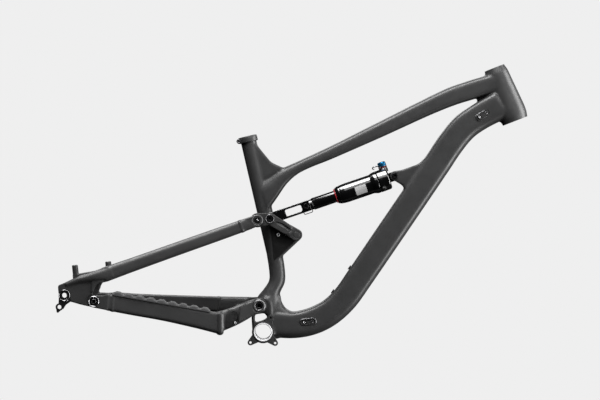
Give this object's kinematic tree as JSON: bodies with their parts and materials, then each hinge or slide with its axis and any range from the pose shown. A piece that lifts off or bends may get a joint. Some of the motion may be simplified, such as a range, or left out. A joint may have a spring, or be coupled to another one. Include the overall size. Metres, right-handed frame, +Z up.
{
  "type": "bicycle frame",
  "caption": "Full-suspension mountain bike frame with front triangle, swinging chainstays and seatstays, rocker link and air shock.",
  "frame": {"origin": "centre of the bottom bracket shell, in the frame's mid-plane", "axes": "+X forwards, +Y to the rider's left (the drive side is -Y), +Z up, with the bottom bracket to rear axle drop of the riding position"},
  "size_m": [0.9816, 0.1801, 0.6616],
  "materials": {
    "frame_finish": "satin dark charcoal coat",
    "black_anodised": "black anodised",
    "bare_alloy": "machined",
    "polished_alloy": "polished rim",
    "bolt_steel": "black oxide",
    "bearing_steel": "ground steel",
    "black_rubber": "matte",
    "red_rubber": "smooth",
    "gloss_black": "gloss black anodised",
    "black_plastic": "moulded",
    "blue_anodised": "anodised blue",
    "red_anodised": "anodised red"
  },
  "bodies": {
    "front_triangle": {"head_tube": "frame_finish", "top_tube": "frame_finish", "down_tube": "frame_finish", "seat_tube": "frame_finish", "seat_tube_lower": "frame_finish", "seat_gusset": "frame_finish", "bb_bracket": "frame_finish", "bb_shell": "bare_alloy", "chain_guide_mount": "frame_finish", "rocker_bracket": "frame_finish", "bracket_screw": "bolt_steel", "shock_mount": "frame_finish", "seat_clamp": "black_anodised", "seat_clamp_bolt": "bolt_steel", "cable_port_upper": "black_rubber", "cable_port_lower": "black_rubber", "cable_port_screws": "bolt_steel", "bottle_bosses": "bolt_steel", "main_pivot_axle": "bolt_steel", "rocker_pivot_axle": "bolt_steel", "shock_front_bolt": "bolt_steel"},
    "chainstays": {"chainstay_yoke": "frame_finish", "chainstay_drive": "frame_finish", "chainstay_nondrive": "frame_finish", "chainstay_lug_drive": "frame_finish", "chainstay_lug_nondrive": "frame_finish", "chainstay_protector": "black_rubber", "main_pivot_bearings": "bearing_steel", "main_pivot_caps": "polished_alloy", "dropout_pivot_bolts": "bolt_steel"},
    "seatstays": {"seatstay_drive": "frame_finish", "seatstay_nondrive": "frame_finish", "seatstay_end_drive": "frame_finish", "seatstay_end_nondrive": "frame_finish", "seatstay_bridge": "frame_finish", "dropout_drive": "frame_finish", "dropout_nondrive": "frame_finish", "brake_mount": "frame_finish", "derailleur_hanger": "black_anodised", "hanger_bolt": "bolt_steel", "dropout_pivot_bearings": "bearing_steel", "stay_pivot_bolts": "bolt_steel"},
    "rocker": {"rocker_link": "frame_finish", "rocker_pivot_bearings": "bearing_steel", "rocker_pivot_caps": "frame_finish", "stay_pivot_bearings": "bearing_steel", "yoke_pivot_bolts": "polished_alloy"},
    "shock_body": {"air_can": "gloss_black", "damper_head": "gloss_black", "front_eye_bushing": "bearing_steel", "air_valve_cap": "black_plastic", "can_wiper_seal": "black_rubber", "travel_ring": "red_rubber"},
    "shock_shaft": {"damper_shaft": "gloss_black", "air_piston": "bearing_steel", "shock_yoke": "frame_finish", "yoke_bolt": "bolt_steel", "hose_guide": "black_anodised"},
    "compression_lever": {"compression_lever": "blue_anodised"},
    "rebound_knob": {"rebound_knob": "red_anodised"}
  },
  "joints": [
    {"name": "main_pivot", "type": "hinge", "parent": "front_triangle", "child": "chainstays", "pos_m": [-0.0137, 0, 0.0565], "axis": [0, 1, 0], "range_deg": [0, 19.09], "stiffness_Nm_per_rad": 900, "springref_deg": -1.15},
    {"name": "dropout_pivot", "type": "hinge", "parent": "chainstays", "child": "seatstays", "pos_m": [-0.3683, 0, 0.0358], "axis": [0, 1, 0], "range_deg": [-9.2, 0.2]},
    {"name": "rocker_pivot", "type": "hinge", "parent": "front_triangle", "child": "rocker", "pos_m": [0.0534, 0, 0.217], "axis": [0, 1, 0], "range_deg": [-0.5, 46]},
    {"name": "shock_front_pivot", "type": "hinge", "parent": "front_triangle", "child": "shock_body", "pos_m": [0.2554, 0, 0.3648], "axis": [0, 1, 0], "range_deg": [-0.2, 4]},
    {"name": "shock_stroke", "type": "slide", "parent": "shock_body", "child": "shock_shaft", "axis": [0.913, 0, 0.4081], "range_m": [-0.0005, 0.0505]},
    {"name": "compression_lever_turn", "type": "hinge", "parent": "shock_body", "child": "compression_lever", "pos_m": [0.22545, 0, 0.38647], "axis": [-0.4081, 0, 0.913], "range_deg": [0, 90]},
    {"name": "rebound_knob_turn", "type": "hinge", "parent": "shock_body", "child": "rebound_knob", "pos_m": [0.2277, 0, 0.38144], "axis": [-0.4081, 0, 0.913], "range_deg": [-150, 150]}
  ],
  "couplings": [
    {"joint": "dropout_pivot", "follows": "main_pivot", "ratio": -0.47056},
    {"joint": "rocker_pivot", "follows": "main_pivot", "ratio": 2.3853},
    {"joint": "shock_front_pivot", "follows": "main_pivot", "ratio": 0.19276},
    {"joint": "shock_stroke", "follows": "main_pivot", "m_per_rad": 0.15007}
  ]
}
